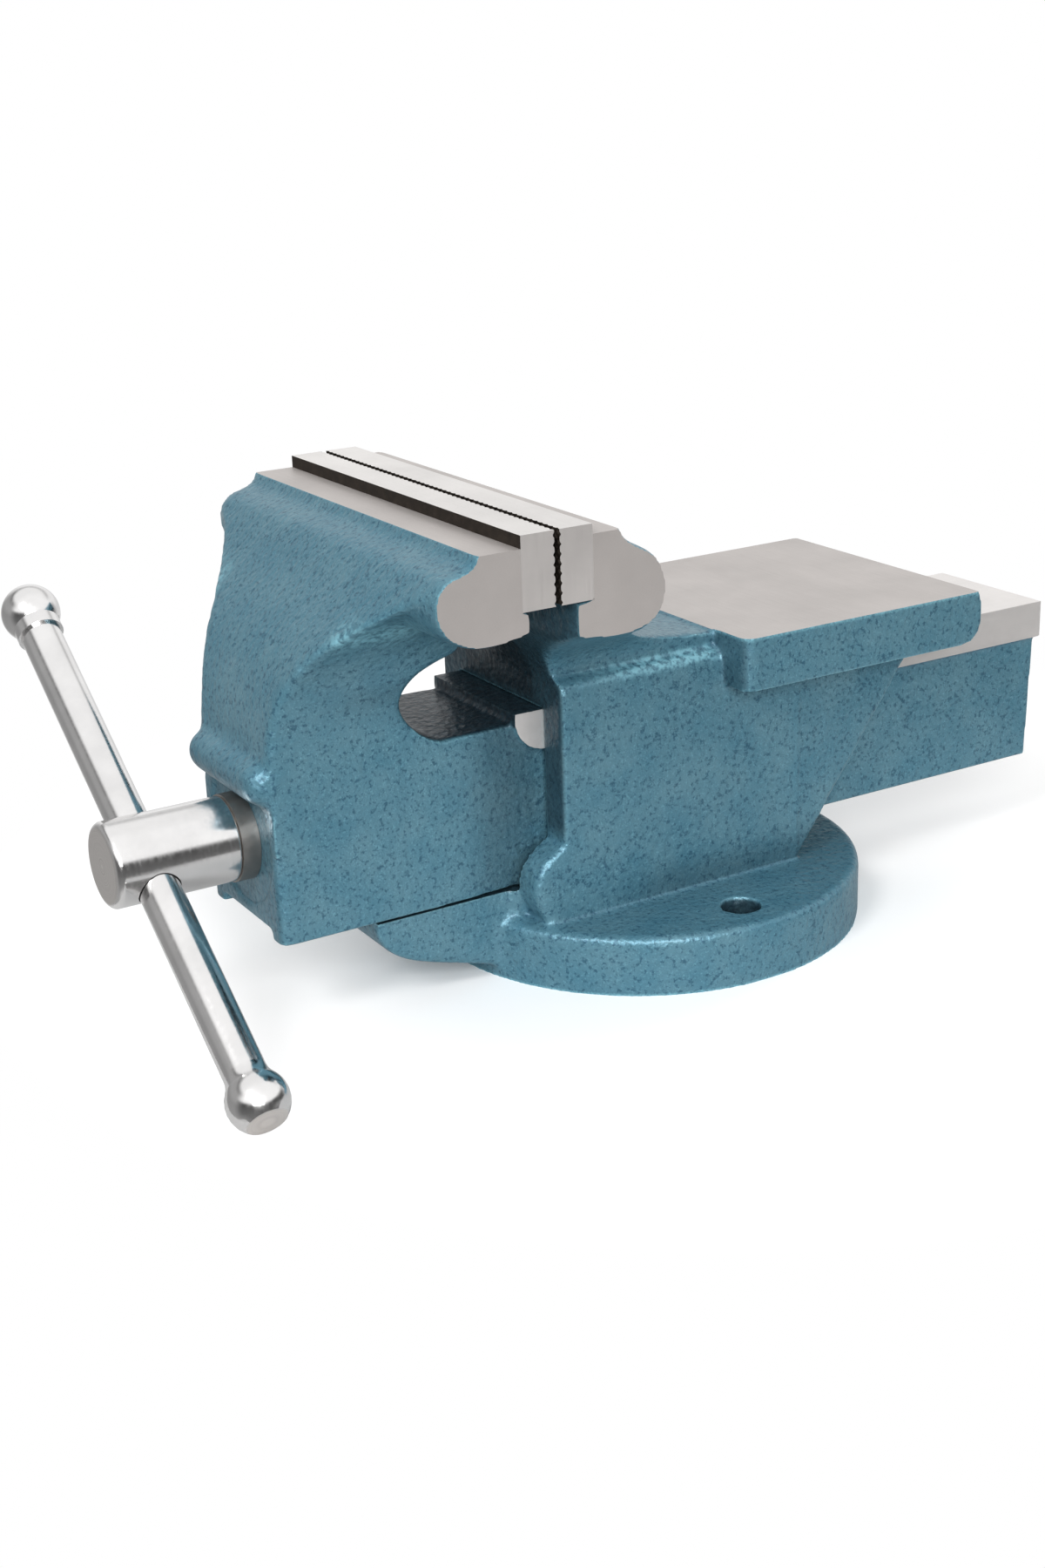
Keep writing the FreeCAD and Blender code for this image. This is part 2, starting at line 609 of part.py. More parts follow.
def spindle_nut():
    nut = box((NUT_FRONT_X, NUT_REAR_X), (-NUT_HALF_WIDTH, NUT_HALF_WIDTH), (SLIDEWAY_FLOOR_Z, SPINDLE_Z))
    nut = nut.fuse(rod_x(NUT_TOP_R, NUT_FRONT_X, NUT_REAR_X))
    bore_r = THREAD_ROOT_R + THREAD_END_GAP
    nut = nut.cut(rod_x(bore_r, NUT_FRONT_X - 1, NUT_REAR_X + 1))
    turns = (NUT_REAR_X - NUT_FRONT_X) / THREAD_PITCH + 2
    groove_half = THREAD_PITCH / 4 + THREAD_GAP / 2
    groove = helix_solid(NUT_FRONT_X - THREAD_PITCH, turns, bore_r - THREAD_ROOT_OVERLAP,
                         THREAD_CREST_R + THREAD_END_GAP, groove_half)
    nut = nut.cut(groove)
    for x in NUT_BOLT_XS:
        nut = nut.cut(rod_z(NUT_BOLT_R + 0.05, x, 0, SLIDEWAY_FLOOR_Z - 1, NUT_BOLT_TIP_Z + 1.5))
    return nut


def nut_bolt(x):
    head_top = BASE_POCKET_DEPTH - NUT_WASHER_THICKNESS - LOCK_WASHER_THICKNESS
    head_low = head_top - NUT_BOLT_HEAD_HEIGHT
    head = hex_bar(NUT_BOLT_HEAD_ACROSS_FLATS, NUT_BOLT_HEAD_HEIGHT, Vector(x, 0, head_low), Z_AXIS)
    return head.fuse(rod_z(NUT_BOLT_R, x, 0, head_low + 1, NUT_BOLT_TIP_Z))


def nut_bolt_washer(x):
    low = BASE_POCKET_DEPTH - NUT_WASHER_THICKNESS
    disc = rod_z(NUT_WASHER_R, x, 0, low, BASE_POCKET_DEPTH)
    return disc.cut(rod_z(NUT_BOLT_R + 0.2, x, 0, low - 1, BASE_POCKET_DEPTH + 1))


def nut_lock_washer(x):
    """Split spring washer between the bolt head and the plain washer."""
    high = BASE_POCKET_DEPTH - NUT_WASHER_THICKNESS
    low = high - LOCK_WASHER_THICKNESS
    disc = rod_z(LOCK_WASHER_R, x, 0, low, high).cut(rod_z(NUT_BOLT_R + 0.1, x, 0, low - 1, high + 1))
    return disc.cut(box((x, x + 10), (-LOCK_WASHER_SPLIT / 2, LOCK_WASHER_SPLIT / 2), (low - 1, high + 1)))


# ---------------------------------------------------------------- handle

def flare(bar_r, ball_r, fillet_r):
    """Ring that fills the corner between the bar and the ball, about +Z with the ball at the origin."""
    height = math.sqrt((ball_r + fillet_r) ** 2 - (bar_r + fillet_r) ** 2)
    share = ball_r / (ball_r + fillet_r)
    on_bar = Vector(bar_r, 0, height)
    on_ball = Vector((bar_r + fillet_r) * share, 0, height * share)
    slope = math.atan2(height, bar_r + fillet_r)
    middle_r = bar_r + fillet_r - fillet_r * math.cos(slope / 2)
    middle = Vector(middle_r, 0, height - fillet_r * math.sin(slope / 2))
    foot, top = Vector(0, 0, on_ball.z), Vector(0, 0, height)
    outline = Part.Wire([Part.makeLine(foot, on_ball), Part.Arc(on_ball, middle, on_bar).toShape(),
                         Part.makeLine(on_bar, top), Part.makeLine(top, foot)])
    return Part.Face(outline).revolve(ORIGIN, Z_AXIS, 360)


def handle_bar():
    """Round bar whose lower end is upset into a ball with a flat end."""
    centre = Vector(HANDLE_X, 0, SPINDLE_Z)
    ball_centre = centre + HANDLE_DOWN * HANDLE_LOWER
    ball = Part.makeSphere(HANDLE_BALL_R, ball_centre)
    flat = ball_centre + HANDLE_DOWN * (HANDLE_BALL_R - HANDLE_FLAT_DEPTH)
    ball = ball.cut(Part.makeCylinder(HANDLE_BALL_R, HANDLE_BALL_R, flat, HANDLE_DOWN))
    flat_r = math.sqrt(HANDLE_BALL_R ** 2 - (HANDLE_BALL_R - HANDLE_FLAT_DEPTH) ** 2)
    # the rim of the flat is the longest edge
    ball = round_edges(ball, HANDLE_FLAT_EDGE_R, lambda e: e.Length > 6 * flat_r)
    bar = rod(HANDLE_R, centre - HANDLE_DOWN * (HANDLE_UPPER - BALL_SOCKET_DEPTH), ball_centre)
    neck = flare(HANDLE_R, HANDLE_BALL_R, HANDLE_FLARE_R)
    neck.Placement = FreeCAD.Placement(ball_centre, FreeCAD.Rotation(Z_AXIS, -HANDLE_DOWN))
    return bar.multiFuse([ball, neck])


def handle_end_ball():
    """Ball fixed on the plain upper end of the bar, with a short collar."""
    centre = Vector(HANDLE_X, 0, SPINDLE_Z)
    ball_centre = centre - HANDLE_DOWN * HANDLE_UPPER
    ball = Part.makeSphere(HANDLE_BALL_R, ball_centre)
    collar_end = ball_centre + HANDLE_DOWN * (HANDLE_BALL_R + BALL_COLLAR_LENGTH)
    ball = ball.fuse(rod(HANDLE_R + BALL_COLLAR_WALL, ball_centre, collar_end))
    socket_end = centre - HANDLE_DOWN * (HANDLE_UPPER - BALL_SOCKET_DEPTH + 0.1)
    return ball.cut(rod(HANDLE_R + 0.03, socket_end, centre))


# ---------------------------------------------------------------- output

def pair(maker, *arguments):
    """The two identical pieces on either side of the middle plane, as one compound."""
    return Part.makeCompound([maker(*arguments, side) for side in (-1, 1)])


PARTS = {
    "fixed_body": fixed_body,
    "fixed_jaw_plate": lambda: jaw_plate(FIXED_PLATE_FACE_X, 1),
    "fixed_plate_screws": lambda: pair(plate_screw, FIXED_PLATE_FACE_X, 1),
    "spindle_nut": spindle_nut,
    "nut_bolts": lambda: Part.makeCompound([nut_bolt(x) for x in NUT_BOLT_XS]),
    "nut_bolt_washers": lambda: Part.makeCompound([nut_bolt_washer(x) for x in NUT_BOLT_XS]),
    "nut_lock_washers": lambda: Part.makeCompound([nut_lock_washer(x) for x in NUT_BOLT_XS]),
    "moving_jaw": moving_jaw,
    "moving_jaw_plate": lambda: jaw_plate(MOVING_PLATE_FACE_X, -1),
    "moving_plate_screws": lambda: pair(plate_screw, MOVING_PLATE_FACE_X, -1),
    "spindle": spindle,
    "thrust_washer": thrust_washer,
    "inner_washer": inner_washer,
    "spindle_spring": spindle_spring,
    "spring_seat_washer": spring_seat_washer,
    "retaining_collar": retaining_collar,
    "collar_pin": collar_pin,
    "handle_bar": handle_bar,
    "handle_end_ball": handle_end_ball,
}

os.makedirs("parts", exist_ok=True)
for name, make in PARTS.items():
    shape = make()
    shape.exportStep(f"parts/{name}.step")
    print(name, shape.isValid(), len(shape.Solids), round(shape.Volume / 1000, 2), "cm3")
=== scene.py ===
import json
import math

import bmesh
import bpy
import numpy as np
from mathutils import Matrix, Vector

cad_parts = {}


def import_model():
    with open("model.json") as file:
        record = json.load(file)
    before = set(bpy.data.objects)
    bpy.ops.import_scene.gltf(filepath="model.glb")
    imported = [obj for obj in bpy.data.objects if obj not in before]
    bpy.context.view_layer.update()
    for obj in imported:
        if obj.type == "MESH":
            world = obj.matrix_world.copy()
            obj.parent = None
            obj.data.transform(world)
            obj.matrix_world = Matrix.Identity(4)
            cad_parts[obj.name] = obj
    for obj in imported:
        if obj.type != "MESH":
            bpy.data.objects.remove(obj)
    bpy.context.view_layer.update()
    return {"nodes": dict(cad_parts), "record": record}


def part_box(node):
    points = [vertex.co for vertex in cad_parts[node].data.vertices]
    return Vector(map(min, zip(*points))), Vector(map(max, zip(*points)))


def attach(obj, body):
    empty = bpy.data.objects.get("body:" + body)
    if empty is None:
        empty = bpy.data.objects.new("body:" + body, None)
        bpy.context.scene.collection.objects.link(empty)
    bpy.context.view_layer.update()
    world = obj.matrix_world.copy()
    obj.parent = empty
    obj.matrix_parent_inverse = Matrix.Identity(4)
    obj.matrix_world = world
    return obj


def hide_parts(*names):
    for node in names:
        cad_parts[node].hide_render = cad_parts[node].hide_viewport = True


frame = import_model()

NODES = frame["nodes"]

# ---------------------------------------------------------------- sizes in metres

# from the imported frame
JAW_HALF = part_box("fixed_jaw_plate")[1][1]
FIXED_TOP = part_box("fixed_body")[1][2]
MOVING_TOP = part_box("moving_jaw")[1][2]
ANVIL_TOP = next(m for m in frame["record"]["mounts"] if m["name"] == "anvil_face")["pos_m"][2]
SLIDE_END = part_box("moving_jaw")[1][0]

# moving jaw: front box, spindle axis, and the guide land along the top of the slide
BOX_FRONT = -0.1474
SPOT_FACE_X = BOX_FRONT + 0.0009
SPINDLE_Z = 0.0595
LAND_START = -0.0633
LAND_TOP = 0.0888
LAND_BOTTOM = 0.0758
LAND_HALF = 0.0265
BLACK_END = 0.013  # length of the land's front end that is not bare
MOVING_SEAT = -0.0874
# the hollow under the slide and the bore of the front wall, each with a small margin
BORE_REACH = 0.0125
CHANNEL_HALF = 0.0188
CHANNEL_TOP = 0.0768
FRONT_WALL = -0.1345

# fixed body
SLIDEWAY_HALF = 0.02685
SLIDEWAY_FLOOR = 0.0296
SLIDEWAY_TOP = 0.08915
FIXED_SEAT = -0.0636
SEAT_LOW = 0.135
JAW_END_LOW = 0.12
BODY_HALF = 0.0383
ANVIL_FRONT = 0.0084
BOLT_HOLE_Y = 0.059
BOLT_HOLE_R = 0.0065
PARTING_X = 0.0385
BEAD_HEIGHT = 0.00028
CORNER_REACH = 0.0007

# handle and spindle head
HANDLE_HOLE = (-0.1789, 0.0, SPINDLE_Z)
HEAD_END = 0.0134  # from the handle hole to the flat faces of the head and of the lower ball
BALL_END = 0.0966
HANDLE_ANGLE = math.radians(56.3)
HANDLE_DOWN = (0.0, -math.sin(HANDLE_ANGLE), -math.cos(HANDLE_ANGLE))


# ---------------------------------------------------------------- node materials

PAINT_LOW = (0.064, 0.178, 0.242)
PAINT_HIGH = (0.096, 0.214, 0.272)
PAINT_FLECK = (0.012, 0.062, 0.110)
# light paint colour: the paint's own light specks, and the painted highlights on edges, hollows and
# shoulders
PAINT_LIGHT = (0.26, 0.56, 0.66)
# painted shade colour for the enamel's hollows
PAINT_HOLLOW_SHADE = (0.012, 0.050, 0.095)
PAINT_SHADE = (0.006, 0.012, 0.020)
PAINT_FLAKE = 0.34  # metallic share of the enamel
END_DARK = (0.64, 0.61, 0.59)
END_LIGHT = (0.86, 0.83, 0.80)


class Nodes:
    """A short way to write a node tree: n.add(type, inputs, settings) returns the node."""

    def __init__(self, owner, output="ShaderNodeOutputMaterial"):
        owner.use_nodes = True
        self.owner = owner
        self.tree = owner.node_tree
        self.tree.nodes.clear()
        self.out = self.tree.nodes.new(output)

    def add(self, kind, inputs=None, **settings):
        node = self.tree.nodes.new("ShaderNode" + kind)
        for key, value in settings.items():
            setattr(node, key, value)
        for key, value in (inputs or {}).items():
            socket = node.inputs[key]
            if isinstance(value, bpy.types.NodeSocket):
                self.tree.links.new(value, socket)
            else:
                socket.default_value = value
        return node

    def ramp(self, factor, stops, interpolation="LINEAR"):
        node = self.add("ValToRGB", {"Fac": factor})
        node.color_ramp.interpolation = interpolation
        elements = node.color_ramp.elements
        while len(elements) < len(stops):
            elements.new(0.5)
        for element, (position, colour) in zip(elements, stops):
            element.position = position
            element.color = (*colour, 1.0) if isinstance(colour, tuple) else (colour, colour, colour, 1.0)
        return node.outputs["Color"]

    def mix(self, factor, a, b, blend="MIX"):
        node = self.add("Mix", data_type="RGBA", blend_type=blend)
        for socket, value in ((node.inputs[0], factor), (node.inputs[6], a), (node.inputs[7], b)):
            if isinstance(value, bpy.types.NodeSocket):
                self.tree.links.new(value, socket)
            elif isinstance(value, tuple):
                socket.default_value = (*value, 1.0)
            else:
                socket.default_value = value
        return node.outputs[2]

    def math(self, operation, a, b=0.0, c=0.0):
        node = self.add("Math", operation=operation)
        for socket, value in zip(node.inputs, (a, b, c)):
            if isinstance(value, bpy.types.NodeSocket):
                self.tree.links.new(value, socket)
            else:
                socket.default_value = value
        return node.outputs[0]

    def coords(self, scale=(1.0, 1.0, 1.0)):
        position = self.add("TexCoord").outputs["Object"]
        return self.add("Mapping", {"Vector": position, "Scale": scale}).outputs["Vector"]

    def noise(self, vector, scale, detail=3.0, roughness=0.5):
        return self.add("TexNoise", {"Vector": vector, "Scale": scale, "Detail": detail,
                                     "Roughness": roughness}).outputs["Fac"]

    def bump(self, height, distance, strength=1.0, normal=None):
        inputs = {"Height": height, "Distance": distance, "Strength": strength}
        if normal is not None:
            inputs["Normal"] = normal
        return self.add("Bump", inputs).outputs["Normal"]

    def finish(self, **inputs):
        shader = self.add("BsdfPrincipled", {key.replace("_", " "): value for key, value in inputs.items()})
        self.tree.links.new(shader.outputs[0], self.out.inputs["Surface"])
        return self.owner


def material_nodes(name):
    return Nodes(bpy.data.materials.new(name))


def hammertone_enamel():
    """Teal hammertone paint: dimpled and glossy, with metal flake and small dark flecks."""
    n = material_nodes("hammertone_enamel")
    at = n.coords()
    flecks = n.noise(at, 640.0, 2.5, 0.65)
    grains = n.noise(at, 1500.0, 2.0, 0.6)
    patches = n.noise(at, 70.0, 3.0, 0.55)
    orange_peel = n.noise(at, 480.0, 2.0, 0.55)
    base = n.ramp(patches, [(0.3, PAINT_LOW), (0.7, PAINT_HIGH)])
    dark = n.ramp(flecks, [(0.34, 1.0), (0.47, 0.0)])
    colour = n.mix(n.math("MULTIPLY", dark, 0.72), base, PAINT_FLECK)
    light = n.ramp(grains, [(0.56, 0.0), (0.72, 1.0)])
    colour = n.mix(n.math("MULTIPLY", light, 0.22), colour, PAINT_LIGHT)
    # painted highlight: convex edges, found by pointiness, are mixed toward the light paint colour
    pointed = n.add("NewGeometry").outputs["Pointiness"]
    edge = n.ramp(pointed, [(0.524, 0.0), (0.564, 1.0)])
    broken = n.math("MULTIPLY", edge, n.ramp(grains, [(0.35, 0.25), (0.6, 1.0)]))
    colour = n.mix(n.math("MULTIPLY", broken, 0.65), colour, PAINT_LIGHT)
    # painted shade: concave places, found by pointiness, are darkened toward the hollow shade colour
    hollow = n.ramp(pointed, [(0.43, 1.0), (0.492, 0.0)])
    colour = n.mix(n.math("MULTIPLY", hollow, 0.65), colour, PAINT_HOLLOW_SHADE)
    shade = n.add("Attribute", attribute_name="shade").outputs["Fac"]
    # painted highlight: where the shade attribute is below 0, broken up by the orange peel
    painted_sheen = n.math("MULTIPLY", n.math("MAXIMUM", n.math("MULTIPLY", shade, -1.0), 0.0),
                    n.ramp(orange_peel, [(0.40, 0.0), (0.58, 1.0)]))
    colour = n.mix(painted_sheen, colour, PAINT_LIGHT)
    # painted shade: where the shade attribute is above 0, with ragged edges; in the throat it also stands
    # for black casting skin
    shade = n.math("MAXIMUM", shade, 0.0)
    ragged = n.math("MULTIPLY", shade, n.ramp(n.noise(at, 420.0, 3.0, 0.7), [(0.3, 0.8), (0.6, 1.0)]))
    colour = n.mix(ragged, colour, PAINT_SHADE)
    dimples = n.add("TexVoronoi", {"Vector": at, "Scale": 420.0, "Smoothness": 0.7},
                    feature="SMOOTH_F1").outputs["Distance"]
    relief = n.bump(dimples, 0.00035, 0.7)
    relief = n.bump(orange_peel, 0.00065, 0.6, relief)
    rough = n.ramp(flecks, [(0.3, 0.44), (0.7, 0.36)])
    return n.finish(Base_Color=colour, Roughness=rough, Normal=relief, Metallic=PAINT_FLAKE,
                    Coat_Weight=0.12, Coat_Roughness=0.15, Specular_IOR_Level=0.4)


def machined_iron(name, colour, rough, direction, depth=1.0):
    """Bare ground metal: fine parallel grinding marks, faint stains."""
    n = material_nodes(name)
    at = n.coords()
    stretch = tuple(40.0 if axis == direction else 2200.0 for axis in "xyz")
    marks = n.noise(n.coords(stretch), 1.0, 2.0, 0.7)
    stains = n.noise(at, 28.0, 4.0, 0.6)
    low = tuple(c * 0.90 for c in colour)
    high = tuple(min(1.0, c * 1.05) for c in colour)
    shade = n.ramp(stains, [(0.3, low), (0.7, high)])
    shade = n.mix(n.math("MULTIPLY", marks, 0.10 * depth), shade, tuple(c * 0.75 for c in colour))
    roughness = n.ramp(marks, [(0.3, rough - 0.05), (0.7, rough + 0.07)])
    return n.finish(Base_Color=shade, Roughness=roughness, Metallic=0.75,
                    Normal=n.bump(marks, 0.00003, 0.5 * depth))


def bright_steel(name, end_axis, end_level, rough=0.15, colour=(0.86, 0.85, 0.845)):
    """Polished plated steel with hairline scratches and a few rubbed spots.

    Past end_level along end_axis, from the handle's hole, is the turned end face, which is duller.
    """
    n = material_nodes(name)
    at = n.coords()
    hair = n.noise(n.coords((900.0, 900.0, 60.0)), 1.0, 4.0, 0.7)
    blotch = n.noise(at, 45.0, 4.0, 0.6)
    shade = n.ramp(blotch, [(0.35, tuple(c * 0.88 for c in colour)), (0.65, colour)])
    roughness = n.ramp(hair, [(0.35, rough - 0.03), (0.75, rough + 0.10)])
    from_hole = n.add("VectorMath", {0: n.coords(), 1: HANDLE_HOLE}, operation="SUBTRACT").outputs["Vector"]
    along = n.add("VectorMath", {0: from_hole, 1: end_axis}, operation="DOT_PRODUCT").outputs["Value"]
    end = n.add("MapRange", {"Value": along, "From Min": end_level - 0.0003,
                             "From Max": end_level}).outputs[0]
    around = n.add("VectorMath", {0: from_hole}, operation="LENGTH").outputs["Value"]
    rings = n.noise(n.add("CombineXYZ", {"X": n.math("MULTIPLY", around, 9000.0)}).outputs[0], 1.0, 2.0)
    end_shade = n.ramp(rings, [(0.3, END_DARK), (0.7, END_LIGHT)])
    shade = n.mix(end, shade, end_shade)
    roughness = n.mix(end, roughness, (0.42, 0.42, 0.42))
    return n.finish(Base_Color=shade, Roughness=roughness, Metallic=1.0,
                    Normal=n.bump(hair, 0.00002, 0.35))


def dark_steel(name, colour=(0.10, 0.095, 0.09), rough=0.38, wear=0.6):
    """Oiled black steel, worn a little brighter on its edges."""
    n = material_nodes(name)
    at = n.coords()
    mottle = n.noise(at, 300.0, 4.0, 0.6)
    shade = n.ramp(mottle, [(0.3, tuple(c * 0.7 for c in colour)), (0.7, tuple(c * 1.4 for c in colour))])
    pointed = n.add("NewGeometry").outputs["Pointiness"]
    worn = n.ramp(pointed, [(0.53, 0.0), (0.60, 1.0)])
    shade = n.mix(n.math("MULTIPLY", worn, wear), shade, (0.42, 0.40, 0.38))
    roughness = n.ramp(mottle, [(0.3, rough - 0.06), (0.7, rough + 0.10)])
    return n.finish(Base_Color=shade, Roughness=roughness, Metallic=0.9,
                    Normal=n.bump(mottle, 0.00006, 0.4))


def bare_iron(name):
    """Bare cast iron with a film of grease."""
    n = material_nodes(name)
    at = n.coords()
    grain = n.noise(at, 900.0, 4.0, 0.7)
    film = n.noise(at, 60.0, 3.0, 0.5)
    shade = n.ramp(film, [(0.3, (0.10, 0.095, 0.085)), (0.7, (0.20, 0.19, 0.18))])
    return n.finish(Base_Color=shade, Metallic=0.7, Normal=n.bump(grain, 0.00012, 0.6),
                    Roughness=n.ramp(film, [(0.3, 0.35), (0.7, 0.6)]))


PAINT = hammertone_enamel()
MACHINED = machined_iron("machined_iron", (0.565, 0.53, 0.51), 0.50, "y")
MACHINED_X = machined_iron("machined_iron_lengthwise", (0.84, 0.81, 0.79), 0.42, "x")
PLATE_STEEL = machined_iron("ground_plate_steel", (0.80, 0.775, 0.755), 0.38, "y")
PLATE_END_STEEL = machined_iron("ground_plate_end", (0.84, 0.80, 0.775), 0.34, "z", 0.3)
SCALE = dark_steel("hardening_scale", (0.040, 0.032, 0.026), 0.6, 0.0)
SPINDLE_STEEL = bright_steel("polished_spindle_steel", (-1.0, 0.0, 0.0), HEAD_END)
HANDLE_STEEL = bright_steel("polished_handle_steel", HANDLE_DOWN, BALL_END)
DARK = dark_steel("oiled_steel")
WASHER = dark_steel("washer_steel", (0.075, 0.065, 0.058), 0.36)
IRON = bare_iron("nut_iron")


# ---------------------------------------------------------------- castings

def new_object(name, mesh, body):
    obj = bpy.data.objects.new(name, mesh)
    bpy.context.scene.collection.objects.link(obj)
    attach(obj, body)
    return obj


def remeshed(node, voxel):
    """Vertices and quads of an even mesh over the CAD node."""
    obj = bpy.data.objects.new("remesh", NODES[node].data.copy())
    bpy.context.scene.collection.objects.link(obj)
    modifier = obj.modifiers.new("even", "REMESH")
    modifier.mode = "VOXEL"
    modifier.voxel_size = voxel
    graph = bpy.context.evaluated_depsgraph_get()
    mesh = bpy.data.meshes.new_from_object(obj.evaluated_get(graph))
    points = np.empty(len(mesh.vertices) * 3)
    mesh.vertices.foreach_get("co", points)
    points = points.reshape(-1, 3)
    edges = np.empty(len(mesh.edges) * 2, dtype=np.int64)
    mesh.edges.foreach_get("vertices", edges)
    edges = edges.reshape(-1, 2)
    bpy.data.objects.remove(obj)
    return mesh, points, edges


def smooth(points, edges, amount, hold, steps):
    """Laplacian smoothing. amount is 0 to 1 per vertex; hold is a mask per vertex and axis that stays."""
    count = np.zeros(len(points))
    np.add.at(count, edges[:, 0], 1)
    np.add.at(count, edges[:, 1], 1)
    count = np.maximum(count, 1)[:, None]
    start = points.copy()
    for _ in range(steps):
        total = np.zeros_like(points)
        for axis in range(3):
            total[:, axis] = (np.bincount(edges[:, 0], points[edges[:, 1], axis], len(points))
                              + np.bincount(edges[:, 1], points[edges[:, 0], axis], len(points)))
        points = points + 0.5 * amount[:, None] * (total / count - points)
        points = np.where(hold, start, points)
    return points


def near(values, target, reach):
    return np.abs(values - target) < reach


def cast_piece(name, node, body, voxel, faces, soften, locked, shade, steps, adjust=None):
    """The casting as poured and then machined: soft edges, but flat true faces where it was cut.

    faces: (axis, level, test, material index) for each machined face.
    soften: function of the points that gives how far each is smoothed, 0 to 1.
    locked: function of the points that gives where the bores and slideways stay as they are.
    shade: function of points and normals that gives how far the paint is darkened, 0 to 1, as painted
    shade, in the throat also black casting skin, and, below 0, a painted highlight.
    adjust: function that moves a few of the points in place, after the smoothing.
    """
    mesh, points, edges = remeshed(node, voxel)
    hold = np.zeros(points.shape, dtype=bool)
    for axis, level, test, _ in faces:
        on_face = near(points[:, axis], level, voxel * 0.75) & test(points)
        points[on_face, axis] = level
        hold[on_face, axis] = True
    fixed = locked(points)
    hold[fixed] = True
    points = smooth(points, edges, soften(points), hold, steps)
    if adjust:
        adjust(points)
    mesh.vertices.foreach_set("co", points.reshape(-1))
    mesh.update()
    mesh.materials.clear()
    for material in (PAINT, MACHINED, MACHINED_X):
        mesh.materials.append(material)
    centres = np.empty(len(mesh.polygons) * 3)
    mesh.polygons.foreach_get("center", centres)
    centres = centres.reshape(-1, 3)
    normals = np.empty(len(mesh.polygons) * 3)
    mesh.polygons.foreach_get("normal", normals)
    normals = normals.reshape(-1, 3)
    index = np.zeros(len(mesh.polygons), dtype=np.int32)
    for axis, level, test, material in faces:
        cut = (near(centres[:, axis], level, voxel * 0.2) & (np.abs(normals[:, axis]) > 0.93)
               & test(centres))
        index[cut] = material
    mesh.polygons.foreach_set("material_index", index)
    outward = np.empty(len(points) * 3)
    mesh.vertices.foreach_get("normal", outward)
    # the shade attribute: painted shade above 0, painted highlight below 0
    dark = mesh.attributes.new("shade", "FLOAT", "POINT")
    dark.data.foreach_set("value", np.clip(shade(points, outward.reshape(-1, 3)), -1.0, 1.0))
    mesh.shade_smooth()
    mesh.set_sharp_from_angle(angle=math.radians(40))
    mesh.name = name
    obj = new_object(name, mesh, body)
    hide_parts(node)
    return obj


def everywhere(p):
    return np.ones(len(p), dtype=bool)


X, Y, Z = 0, 1, 2
PAINTED, BARE, BARE_X = 0, 1, 2

MOVING_FACES = [
    (Y, JAW_HALF, lambda p: p[:, Z] > JAW_END_LOW, BARE),
    (Y, -JAW_HALF, lambda p: p[:, Z] > JAW_END_LOW, BARE),
    (Z, MOVING_TOP, everywhere, BARE),
    (X, MOVING_SEAT, lambda p: p[:, Z] > SEAT_LOW, BARE),
    (X, SPOT_FACE_X, lambda p: np.hypot(p[:, Y], p[:, Z] - SPINDLE_Z) < 0.0225, PAINTED),
    (Z, LAND_TOP, lambda p: near(p[:, X], LAND_START, BLACK_END), PAINTED),
    (Z, LAND_TOP, lambda p: p[:, X] > LAND_START + BLACK_END, BARE_X),
    (Y, LAND_HALF, lambda p: (p[:, X] > LAND_START - 0.001) & (p[:, Z] > LAND_BOTTOM - 0.001), BARE_X),
    (Y, -LAND_HALF, lambda p: (p[:, X] > LAND_START - 0.001) & (p[:, Z] > LAND_BOTTOM - 0.001), BARE_X),
    (X, SLIDE_END, lambda p: p[:, Z] > LAND_BOTTOM - 0.001, BARE),
]
FIXED_FACES = [
    (Y, JAW_HALF, lambda p: p[:, Z] > JAW_END_LOW, BARE),
    (Y, -JAW_HALF, lambda p: p[:, Z] > JAW_END_LOW, BARE),
    (Z, FIXED_TOP, everywhere, BARE),
    (X, FIXED_SEAT, lambda p: p[:, Z] > SEAT_LOW, BARE),
    (Z, ANVIL_TOP, lambda p: p[:, X] > ANVIL_FRONT - 0.001, BARE),
    (Z, 0.0, everywhere, BARE),
    (Z, SLIDEWAY_FLOOR, lambda p: near(p[:, Y], 0.0, SLIDEWAY_HALF) & (p[:, X] > -0.06), BARE_X),
    (Z, SLIDEWAY_TOP, lambda p: near(p[:, Y], 0.0, SLIDEWAY_HALF), BARE_X),
    (Y, SLIDEWAY_HALF, lambda p: p[:, X] > -0.052, BARE_X),
    (Y, -SLIDEWAY_HALF, lambda p: p[:, X] > -0.052, BARE_X),
]


def ease(values, low, high):
    """0 below low, 1 above high, smooth between."""
    t = np.clip((values - low) / (high - low), 0.0, 1.0)
    return t * t * (3.0 - 2.0 * t)


def soften_moving(p):
    neck = ease(p[:, Z], 0.088, 0.100)
    front = ease(-p[:, X], 0.140, 0.146) * ease(p[:, Z], 0.070, 0.076)
    return np.maximum(0.12, np.maximum(neck, front))


def soften_fixed(p):
    neck = ease(p[:, Z], 0.102, 0.108) * ease(-p[:, X], -0.004, 0.004)
    foot = ease(-p[:, X], 0.050, 0.056) * ease(-p[:, Z], -0.050, -0.044)
    return np.maximum(0.14, np.maximum(neck, foot * 0.6))


def locked_moving(p):
    bore = np.hypot(p[:, Y], p[:, Z] - SPINDLE_Z) < BORE_REACH
    channel = near(p[:, Y], 0.0, CHANNEL_HALF) & (p[:, Z] < CHANNEL_TOP) & (p[:, X] > FRONT_WALL)
    return bore | channel


def locked_fixed(p):
    slideway = (near(p[:, Y], 0.0, SLIDEWAY_HALF + 0.0002) & (p[:, Z] > SLIDEWAY_FLOOR - 0.0002)
                & (p[:, Z] < SLIDEWAY_TOP + 0.0002))
    pocket = p[:, Z] < 0.0005
    return slideway | pocket


def band(values, centre, reach):
    """1 at the centre, falling smoothly to 0 at the reach on either side."""
    return 1.0 - ease(np.abs(values - centre), 0.0, reach)


